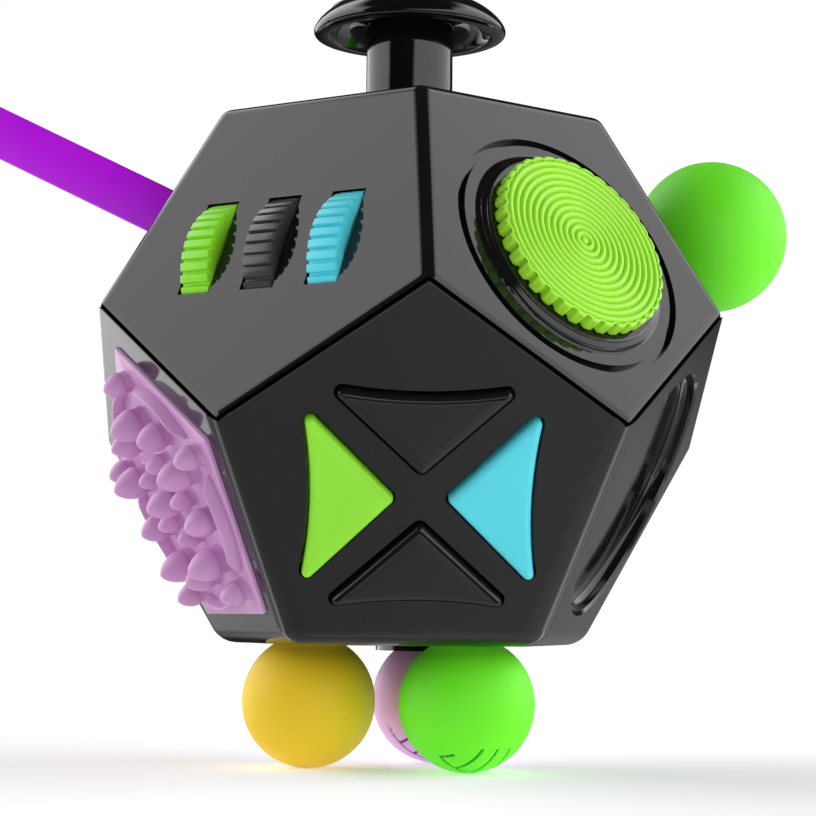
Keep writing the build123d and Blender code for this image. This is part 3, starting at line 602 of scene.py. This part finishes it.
def pentagon(radius, count_on_corner=1, corner=0.0):
    """Corners of a pentagon, point up, with each corner rounded to `corner` by a few points."""
    points = []
    for side in range(5):
        angle = pi / 2 + side * 2 * pi / 5
        reach = radius - corner / cos(pi / 5)
        centre = Vector((reach * cos(angle), reach * sin(angle)))
        for step in range(count_on_corner):
            share = 0.5 if count_on_corner == 1 else step / (count_on_corner - 1)
            around = angle + (share - 0.5) * 2 * pi / 5
            points.append(centre + Vector((cos(around), sin(around))) * corner)
    return points


def nub(foot, height):
    """A soft nub: a straight collar, a small shoulder, then a blunt cone."""
    collar = height * 0.3
    base = collar + 0.12 * MM
    profile = [(foot * 1.08, 0), (foot * 0.95, 0.06 * MM), (foot * 0.9, 0.2 * MM)]
    profile += [(foot * 0.9, collar - 0.08 * MM), (foot * 0.93, collar - 0.02 * MM)]
    profile += [(foot * 0.99, collar + 0.03 * MM), (foot, base)]
    for step in range(1, NUB_LEVELS + 1):
        share = sin(pi / 2 * step / NUB_LEVELS)
        profile.append((foot * (1 - share**1.75) ** 0.62, base + (height - base) * share))
    profile[-1] = (0, height)
    return lathe(profile, NUB_STEPS)


def tray_wall(start, finish):
    """A thin wall standing on the tray between two points, bowed towards the tray's edge."""
    steps, half, height, bulge = WALL_STEPS, WALL_HALF, WALL_HEIGHT, WALL_BULGE
    shoulder = height - 0.1 * MM
    section = [(-half, 0), (-half, shoulder), (-half * 0.5, height)]
    section += [(half * 0.5, height), (half, shoulder), (half, 0)]
    chord = finish - start
    outward = Vector((chord.y, -chord.x)).normalized()
    points = []
    for step in range(steps + 1):
        share = step / steps
        place = start + chord * share + outward * (bulge * 4 * share * (1 - share))
        slope = chord + outward * (bulge * 4 * (1 - 2 * share))
        side = Vector((-slope.y, slope.x)).normalized()
        low = 0.35 + 0.65 * min(share * 8, (1 - share) * 8, 1.0)
        for across, up in section:
            points.append((place.x + side.x * across, place.y + side.y * across, up * low))
    count = len(section)
    faces = ring_faces(steps + 1, count)
    faces.append(tuple(range(count)))
    faces.append(tuple(reversed([steps * count + i for i in range(count)])))
    return points, faces


def make_massage_pad(looks):
    levels = ((0.0, TRAY_BASE), (0.0, TRAY_TOP - 0.06 * MM), (0.02 * MM, TRAY_TOP - 0.02 * MM))
    levels += ((0.06 * MM, TRAY_TOP), (2.0 * MM, TRAY_TOP))
    points = []
    for inset, height in levels:
        outline = pentagon(TRAY_RADIUS - inset / cos(pi / 5), TRAY_CORNER_POINTS, TRAY_CORNER)
        points += [(p.x, p.y, height) for p in outline]
    count = 5 * TRAY_CORNER_POINTS
    faces = ring_faces(len(levels), count)
    faces.append(tuple(reversed(range(count))))
    faces.append(tuple((len(levels) - 1) * count + i for i in range(count)))
    parts = [(points, faces)]
    for radius, how_many, first, foot, height in NUB_RINGS:
        for number in range(how_many):
            angle = radians(first + 360 * number / how_many)
            place = Matrix.Translation((radius * MM * cos(angle), radius * MM * sin(angle), TRAY_TOP))
            parts.append(moved(nub(foot * MM, height * MM), place))
    corners = pentagon(TRAY_RADIUS - WALL_INSET)
    for side in range(5):
        start, finish = corners[side], corners[(side + 1) % 5]
        wall = tray_wall(*(start.lerp(finish, share) for share in WALL_SPAN))
        parts.append(moved(wall, Matrix.Translation((0, 0, TRAY_TOP))))
    mesh = mesh_of("massage_pad_look", *join(parts), on_face("massage", 0, 0, TRAY_DROP))
    look = looks["pink_pad"]
    finish_piece("massage_pad_look", mesh, look, "body", ["massage_pad"], 45)


# ---------------------------------------------------------------- balls
BALL_CIRCLE = 7.4 * MM
PLUNGER_RADIUS = 1.5 * MM
# name: (angle on the bottom circle, heading of the tread's tip, tilt of the tread)
BALLS = {"orange": (186, 10, 0), "green": (306, 130, 0), "pink": (66, 150, 24)}
SIDE_BALL_RADIUS = 6.2 * MM
SIDE_BALL_SEAT = 9.85 * MM
SIDE_TREAD = (100, 0)
TREAD_EDGE = 52  # degrees from the ball's outer pole to the outer edge of its leaf-shaped tread
# the tread's lines, in degrees on the ball, x along the leaf and y across it
ROOT_LINE = (10.5, 0.25)  # y of the midrib at x 0, and its slope
ROOT_ENDS = (-45, 43)
VEIN_START = (11, 27)
VEIN_SLOPE = 0.23
VEIN_BEND = 0.0016
VEIN_PITCH = 16.5
VEIN_LINES = (-4, 1)  # numbers of the first and last vein
VEIN_SLANT = 0.97  # from along the leaf to across a vein
VEIN_HALF = 1.3
SHORT_VEIN = (41.8, 16.3)  # x of the vein at the tip, and its end
GROOVE_DEPTH = 0.13 * MM
BALL_STEPS = 512
FINE_RINGS = 97  # over the tread
FINE_PITCH = 0.0098  # of the radius
COARSE_RINGS = 22  # over the rest
HOLE_ARC = 1.55 * MM  # from the inner pole to the edge of the plunger's hole
HOLE_DEPTH = 3.5 * MM


def tread_depth(direction, heading, tilt):
    """1 in a groove of the leaf-shaped tread, 0 elsewhere, for a direction from the ball's middle."""
    turned = Matrix.Rotation(radians(-heading), 3, "Z") @ direction
    turned = Matrix.Rotation(radians(-tilt), 3, "Y") @ turned
    away = degrees(acos(max(-1.0, min(1.0, turned.z))))
    if away > TREAD_EDGE + 2:
        return 0.0
    around = atan2(turned.y, turned.x)
    x, y = away * cos(around), -away * sin(around)
    root = ROOT_LINE[0] - ROOT_LINE[1] * x
    near = 90.0
    if ROOT_ENDS[0] < x < ROOT_ENDS[1]:
        near = abs(y - root)
    if y > root - 0.5:
        over = y - VEIN_START[1]
        vein = (x - VEIN_START[0] - VEIN_SLOPE * over - VEIN_BEND * over**2) / VEIN_PITCH
        line = round(vein)
        if VEIN_LINES[0] <= line <= VEIN_LINES[1] and away < TREAD_EDGE:
            near = min(near, abs(vein - line) * VEIN_PITCH * VEIN_SLANT)
        if 0 <= y < SHORT_VEIN[1]:
            near = min(near, abs(x - SHORT_VEIN[0]))
    return max(0.0, min(1.0, 1.6 - near / VEIN_HALF))


def make_ball(name, matrix, radius, heading, tilt, look, looks, slot):
    """A ball with its plunger hole at the inner pole and a grooved tread round the outer pole."""
    steps = BALL_STEPS
    arcs = [FINE_PITCH * radius * k for k in range(1, FINE_RINGS + 1)]
    fine, last = arcs[-1], pi * radius - HOLE_ARC
    arcs += [fine + (last - fine) * k / COARSE_RINGS for k in range(1, COARSE_RINGS + 1)]
    points, dark = [], set()
    for arc in arcs:
        around = arc / radius
        for step in range(steps):
            angle = 2 * pi * step / steps
            direction = Vector((sin(around) * cos(angle), sin(around) * sin(angle), cos(around)))
            depth = tread_depth(direction, heading, tilt)
            # points deep in a groove are gathered for the painted groove shade
            if depth > 0.5:
                dark.add(len(points))
            points.append(direction * (radius - GROOVE_DEPTH * depth))
    faces = ring_faces(len(arcs), steps)
    points.append((0, 0, radius))
    tip = len(points) - 1
    faces += [(tip, (step + 1) % steps, step) for step in range(steps)]
    inner = (len(arcs) - 1) * steps
    hole = points[inner][2]
    for step in range(steps):
        angle = 2 * pi * step / steps
        points.append((PLUNGER_RADIUS * cos(angle), PLUNGER_RADIUS * sin(angle), hole + HOLE_DEPTH))
    wall = len(points) - steps
    for step in range(steps):
        after = (step + 1) % steps
        faces.append((inner + step, wall + step, wall + after, inner + after))
    faces.append(tuple(wall + step for step in range(steps)))
    faces = [tuple(reversed(face)) for face in faces]
    mesh = mesh_of("ball_" + name + "_look", points, faces, matrix)
    piece = finish_piece(
        "ball_" + name + "_look", mesh, [looks[look + "_ball"], looks[look + "_line"]],
        "pull_ball_" + name, ["ball_" + name], 60,
    )
    # faces in the tread's grooves take the darker second look, painted shade in the grooves
    for polygon in piece.data.polygons:
        if sum(v in dark for v in polygon.vertices) >= 3:
            polygon.material_index = 1


BALL_SPRING = (1.93 * MM, 0.34 * MM, 4.7 * MM, 7.5)  # radius, wire, height and turns
BALL_SPRING_FOOT = -8.75 * MM  # from the face, as is its anchor
STICK_SPRING = (2.33 * MM, 0.4 * MM, 3.4 * MM, 5)
STICK_PIVOT = -5.24 * MM  # from the top face
STICK_SPRING_FOOT = 8.75 * MM  # below the pivot


def ball_spring(name, matrix, looks):
    """The return spring, which is squeezed against its bush as the ball is pulled out."""
    node = "ball_spring_" + name
    part = moved(coil(*BALL_SPRING), Matrix.Translation((0, 0, BALL_SPRING_FOOT)))
    mesh = mesh_of(node + "_look", *part, matrix)
    piece = finish_piece(node + "_look", mesh, looks["spring_steel"], "body", [node], 60)
    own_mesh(piece)


def make_balls(looks):
    for name, (place, heading, tilt) in BALLS.items():
        u = BALL_CIRCLE * cos(radians(place))
        v = -BALL_CIRCLE * sin(radians(place))
        matrix = on_face("balls", BALL_SEAT, u, v)
        make_ball(name, matrix, BALL_RADIUS, heading, tilt, name, looks, name + "_ball")
        ball_spring(name, on_face("balls", 0, u, v), looks)
    side = on_face("side_ball", SIDE_BALL_SEAT)
    make_ball("side", side, SIDE_BALL_RADIUS, *SIDE_TREAD, "green", looks, "green_ball")
    ball_spring("side", on_face("side_ball"), looks)


def make_stick_spring(looks):
    """The spring under the stick's foot, which tips down to meet it."""
    base = on_face("stick", STICK_PIVOT - STICK_SPRING_FOOT)
    mesh = mesh_of("joystick_spring_look", *coil(*STICK_SPRING), base)
    look = looks["spring_steel"]
    finish_piece("joystick_spring_look", mesh, look, "body", ["joystick_spring"], 60)


# ---------------------------------------------------------------- strap
STRAP_WIDTH = 3.9 * MM
STRAP_THICKNESS = 1.1 * MM
STRAP_START = -4.6 * MM  # root, exit and middle of the eyelet, from the face
STRAP_EYE = 34.0 * MM
STRAP_TAB = 4.4 * MM  # radius of the tab
STRAP_RISE = 3.65 * MM  # above the middle of its face
EYE_HOLE = 2.6 * MM
STRAP_ROUND = 0.22 * MM  # rounding of the long edges
STRAP_BEVEL = 0.07 * MM
STRAP_ROWS = 24
TAB_STEPS = 48


def make_strap(looks):
    """A flat moulded strap along its face's normal, with a round tab for the eyelet."""
    half = STRAP_WIDTH / 2
    join_at = STRAP_EYE - sqrt(STRAP_TAB**2 - half**2)
    steps, rows, round_ = TAB_STEPS, STRAP_ROWS, STRAP_ROUND
    outer, inner = [], []
    # the tab's outline and the eye's hole, walked from one side of the strip round to the other
    first = pi - atan(half / (STRAP_EYE - join_at))
    for step in range(steps + 1):
        angle = -first + 2 * first * step / steps
        outer.append((STRAP_TAB * sin(angle), STRAP_EYE + STRAP_TAB * cos(angle)))
        inner.append((EYE_HOLE * sin(angle), STRAP_EYE + EYE_HOLE * cos(angle)))
    strip = [STRAP_START + (join_at - STRAP_START) * row / rows for row in range(rows + 1)]
    thick, bevel = STRAP_THICKNESS / 2, STRAP_BEVEL
    section = [(-thick, -half + round_), (-thick + bevel, -half + bevel), (-thick + round_, -half)]
    section += [(thick - round_, -half), (thick - bevel, -half + bevel), (thick, -half + round_)]
    section += [(x, -y) for x, y in reversed(section)]
    points = [(x, y, z) for z in strip for x, y in section]
    faces = ring_faces(rows + 1, len(section))
    faces.append(tuple(reversed(range(len(section)))))
    faces.append(tuple(rows * len(section) + i for i in range(len(section))))
    tab = []
    for (oy, oz), (iy, iz) in zip(outer, inner):
        edge = Vector((oy, oz - STRAP_EYE)).normalized() * round_
        tab += [(-thick, iy, iz), (-thick, oy - edge.x, oz - edge.y), (-thick + round_, oy, oz)]
        tab += [(thick - round_, oy, oz), (thick, oy - edge.x, oz - edge.y), (thick, iy, iz)]
    tab_faces = ring_faces(steps + 1, 6)
    tab_faces.append((5, 4, 3, 2, 1, 0))
    tab_faces.append(tuple(steps * 6 + i for i in range(6)))
    # the wedge that closes the tab towards the strip
    low = [(x, y, join_at) for x in (-thick, thick) for y in (-half, half)]
    wedge = low + [tab[0], tab[5], tab[steps * 6], tab[steps * 6 + 5]]
    wedge_faces = [(0, 1, 6, 4), (2, 5, 7, 3), (0, 2, 3, 1), (4, 6, 7, 5), (0, 4, 5, 2), (1, 3, 7, 6)]
    matrix = on_face("strap", 0, 0, STRAP_RISE)
    whole = join([(points, faces), (tab, tab_faces), (wedge, wedge_faces)])
    mesh = mesh_of("strap_look", *whole, matrix)
    piece = finish_piece("strap_look", mesh, looks["strap"], "body", ["strap"], 35)


# ---------------------------------------------------------------- stage
FLOOR_REACH = 6.0
FLOOR_GLOW = 0.3


def make_floor():
    reach = FLOOR_REACH
    corners = [(-reach, -reach, 0), (reach, -reach, 0), (reach, reach, 0), (-reach, reach, 0)]
    mesh = mesh_of("floor", corners, [(0, 1, 2, 3)])
    floor = bpy.data.objects.new("floor", mesh)
    bpy.context.collection.objects.link(floor)
    material, _, _, shader = new_material("pale_floor")
    shader.inputs["Base Color"].default_value = (0.92, 0.92, 0.92, 1)
    shader.inputs["Emission Color"].default_value = (1, 1, 1, 1)
    shader.inputs["Emission Strength"].default_value = FLOOR_GLOW
    shader.inputs["Roughness"].default_value = 0.9
    shader.inputs["Specular IOR Level"].default_value = 0.1
    mesh.materials.append(material)
    floor.visible_glossy = False


def window(nodes, links, value, low, high, soft):
    """1 where value is between low and high, with soft edges."""
    shares = []
    for start, finish in ((low - soft, low + soft), (high + soft, high - soft)):
        ramp = nodes.new("ShaderNodeMapRange")
        ramp.interpolation_type = "SMOOTHSTEP"
        ramp.inputs["From Min"].default_value = start
        ramp.inputs["From Max"].default_value = finish
        links.new(value, ramp.inputs["Value"])
        shares.append(ramp.outputs["Result"])
    return compute(nodes, links, "MULTIPLY", *shares)


def compute(nodes, links, operation, first, second):
    """A math node on two sockets or numbers."""
    node = nodes.new("ShaderNodeMath")
    node.operation = operation
    for socket, entry in zip(node.inputs, (first, second)):
        if isinstance(entry, (int, float)):
            socket.default_value = entry
        else:
            links.new(entry, socket)
    return node.outputs[0]


# strengths
SOFTBOX_RIGHT = 2.1
SOFTBOX_LEFT = 2.4
BEHIND = 0.235
TABLE_RIGHT = (0.26, 1.3)  # at its far level and at its near one
TABLE_LEFT = (0.5, 0.6)
FILL = 0.025
FROM_BELOW = 0.52
GLINT = 1.3
DIFFUSE_SHARE = 0.98
CAMERA_WHITE = 1.02
# places: azimuths in degrees from +X, heights as the sine of the elevation
TURN = -80  # degrees that azimuths are turned by, so that no soft box crosses the seam of the count
EDGE_LEVEL = 0.225  # height at which the azimuth of a soft box's edge is given
RIGHT_NEAR = (-82, 110)  # azimuth of the edge, and its slant in degrees per unit of height
RIGHT_FAR = (45, 0)
RIGHT_HEIGHT = (-0.02, 0.84)
LEFT_START = (112, 0)
LEFT_LOW = (211, 150)
LEFT_HIGH = (211, -23)
LEFT_HEIGHT = (-0.42, 0.84)
LEFT_DIM = (-0.235, -0.07, 0.24)  # rises from the first height to the second, starting at this share
BOX_SOFT = 0.06
BEHIND_SPAN = (48, 84)
BEHIND_HEIGHT = (-0.5, -0.04)
TABLES = ((-30, 56, -0.04, *TABLE_RIGHT), (100, 215, -0.3, *TABLE_LEFT))  # first, last, top, strengths
TABLE_FOOT = -0.62
TABLE_RISE = (-0.6, -0.1)
TABLE_SOFT = 0.05
BELOW_HEIGHT = (-1.5, -0.63)
BRIGHTER_SPAN = (-80, 40)
BRIGHTER_BY = 0.7
GLINT_HEIGHT = (-0.62, -0.5)


def slanted(nodes, links, height, at_level, slope):
    """An edge of a soft box, in turned radians, from its azimuth at EDGE_LEVEL and its slant."""
    lean = compute(nodes, links, "MULTIPLY", height, radians(slope))
    return compute(nodes, links, "ADD", lean, radians(at_level + TURN - slope * EDGE_LEVEL))


def above(nodes, links, value, edge, soft):
    """1 where value is over the edge, 0 where it is under it, softly."""
    over = compute(nodes, links, "SUBTRACT", value, edge)
    ramp = nodes.new("ShaderNodeMapRange")
    ramp.interpolation_type = "SMOOTHSTEP"
    ramp.inputs["From Min"].default_value = -soft
    ramp.inputs["From Max"].default_value = soft
    links.new(over, ramp.inputs["Value"])
    return ramp.outputs["Result"]


def make_world():
    """A white studio: tall soft boxes at the right and the left, a lit table, and a dark front."""
    world = bpy.data.worlds.new("studio")
    bpy.context.scene.world = world
    world.use_nodes = True
    nodes, links = world.node_tree.nodes, world.node_tree.links
    background = nodes["Background"]
    place = nodes.new("ShaderNodeTexCoord")
    turned = nodes.new("ShaderNodeVectorRotate")
    turned.rotation_type = "Z_AXIS"
    turned.inputs["Angle"].default_value = radians(TURN)
    links.new(place.outputs["Generated"], turned.inputs["Vector"])
    parts = nodes.new("ShaderNodeSeparateXYZ")
    links.new(turned.outputs["Vector"], parts.inputs["Vector"])
    height = parts.outputs["Z"]
    azimuth = compute(nodes, links, "ARCTAN2", parts.outputs["Y"], parts.outputs["X"])
    soft = radians(5)

    # right-hand box, whose near edge leans away from the camera as it rises
    near = above(nodes, links, azimuth, slanted(nodes, links, height, *RIGHT_NEAR), soft)
    far = above(nodes, links, azimuth, slanted(nodes, links, height, *RIGHT_FAR), soft)
    right = compute(nodes, links, "SUBTRACT", near, far)
    tall = window(nodes, links, height, *RIGHT_HEIGHT, BOX_SOFT)
    right = compute(nodes, links, "MULTIPLY", right, tall)

    # left-hand box, narrow below the object's middle and broad above it
    start = above(nodes, links, azimuth, slanted(nodes, links, height, *LEFT_START), soft)
    low = slanted(nodes, links, height, *LEFT_LOW)
    high = slanted(nodes, links, height, *LEFT_HIGH)
    finish = above(nodes, links, azimuth, compute(nodes, links, "MINIMUM", low, high), soft)
    left = compute(nodes, links, "SUBTRACT", start, finish)
    dim = nodes.new("ShaderNodeMapRange")
    for socket, value in zip(("From Min", "From Max", "To Min"), LEFT_DIM):
        dim.inputs[socket].default_value = value
    links.new(height, dim.inputs["Value"])
    left = compute(nodes, links, "MULTIPLY", left, dim.outputs["Result"])
    tall = window(nodes, links, height, *LEFT_HEIGHT, BOX_SOFT)
    left = compute(nodes, links, "MULTIPLY", left, tall)

    right = compute(nodes, links, "MULTIPLY", right, SOFTBOX_RIGHT)
    left = compute(nodes, links, "MULTIPLY", left, SOFTBOX_LEFT)
    light = compute(nodes, links, "MAXIMUM", right, left)
    # the dim wall behind the object, under eye level
    first, last = (radians(edge + TURN) for edge in BEHIND_SPAN)
    behind = window(nodes, links, azimuth, first, last, radians(10))
    tall = window(nodes, links, height, *BEHIND_HEIGHT, TABLE_SOFT)
    behind = compute(nodes, links, "MULTIPLY", behind, tall)
    behind = compute(nodes, links, "MULTIPLY", behind, BEHIND)
    light = compute(nodes, links, "MAXIMUM", light, behind)
    # the lit table to the right, brighter towards the object, and a little of it to the left
    for first, last, top, far_level, near_level in TABLES:
        table = window(nodes, links, azimuth, radians(first + TURN), radians(last + TURN), radians(8))
        tall = window(nodes, links, height, TABLE_FOOT, top, TABLE_SOFT)
        table = compute(nodes, links, "MULTIPLY", table, tall)
        rise = nodes.new("ShaderNodeMapRange")
        rise.inputs["From Min"].default_value = TABLE_RISE[0]
        rise.inputs["From Max"].default_value = TABLE_RISE[1]
        rise.inputs["To Min"].default_value = near_level
        rise.inputs["To Max"].default_value = far_level
        links.new(height, rise.inputs["Value"])
        table = compute(nodes, links, "MULTIPLY", table, rise.outputs["Result"])
        light = compute(nodes, links, "MAXIMUM", light, table)
    # the pale table below, and the thin bright line of its front edge
    below = window(nodes, links, height, *BELOW_HEIGHT, 0.04)
    first, last = (radians(edge + TURN) for edge in BRIGHTER_SPAN)
    brighter = window(nodes, links, azimuth, first, last, radians(14))
    brighter = compute(nodes, links, "MULTIPLY", brighter, BRIGHTER_BY)
    below = compute(nodes, links, "MULTIPLY", below, compute(nodes, links, "ADD", brighter, 1.0))
    below = compute(nodes, links, "MULTIPLY", below, FROM_BELOW)
    light = compute(nodes, links, "ADD", light, below)
    glint = window(nodes, links, height, *GLINT_HEIGHT, 0.03)
    light = compute(nodes, links, "ADD", light, compute(nodes, links, "MULTIPLY", glint, GLINT))
    light = compute(nodes, links, "ADD", light, FILL)

    seen = nodes.new("ShaderNodeLightPath")
    for ray, strength in (("Is Diffuse Ray", None), ("Is Camera Ray", CAMERA_WHITE)):
        mix = nodes.new("ShaderNodeMix")
        mix.data_type = "FLOAT"
        links.new(seen.outputs[ray], mix.inputs["Factor"])
        links.new(light, mix.inputs["A"])
        if strength is None:
            links.new(compute(nodes, links, "MULTIPLY", light, DIFFUSE_SHARE), mix.inputs["B"])
        else:
            mix.inputs["B"].default_value = strength
        light = mix.outputs["Result"]
    links.new(light, background.inputs["Strength"])
    background.inputs["Color"].default_value = (1, 1, 1, 1)


# ---------------------------------------------------------------- the scene
def main():
    make_camera()
    looks = make_materials()
    make_strap(looks)
    bpy.context.scene.view_settings.view_transform = "Standard"

    dress(looks["shell"], "upper_shell", "lower_shell")
    dress(looks["gloss_black"], "joystick_stem", "rocker_bezel", "collar_bush", "strap_gland")
    dress(looks["black"], "rocker")
    dress(looks["lime"], "clicker_centre")
    dress(looks["cyan"], "clicker_upper_left")
    dress(looks["orange"], "clicker_upper_right")
    dress(looks["pink"], "clicker_lower_left")
    dress(looks["violet"], "clicker_lower_right")
    dress(looks["nylon"], "gimbal_frame", "gimbal_ring", "guide_bushes", "roller_cup")
    dress(looks["nylon"], "pad_back_plate", "clicker_plate", "wheel_spacers", "strap_anchor")
    dress(looks["grey_silicone"], "pad_membrane", "clicker_domes")
    dress(looks["steel"], "wheel_axle", "dial_screw", "dial_washer")
    dress(looks["steel"], "rocker_pin", "roller_ball", "strap_eyelet")
    for name in [*BALLS, "side"]:
        dress(looks["steel"], "ball_plunger_" + name, "ball_ring_" + name)

    make_dial(looks)
    make_wheel("wheel_left_look", -1, looks["lime"])
    make_wheel("wheel_middle_look", 0, looks["black_wheel"])
    make_wheel("wheel_right_look", 1, looks["cyan"])
    make_pad_buttons(looks)
    make_cap(looks)
    make_massage_pad(looks)
    make_balls(looks)
    make_stick_spring(looks)
    make_floor()
    make_world()


main()
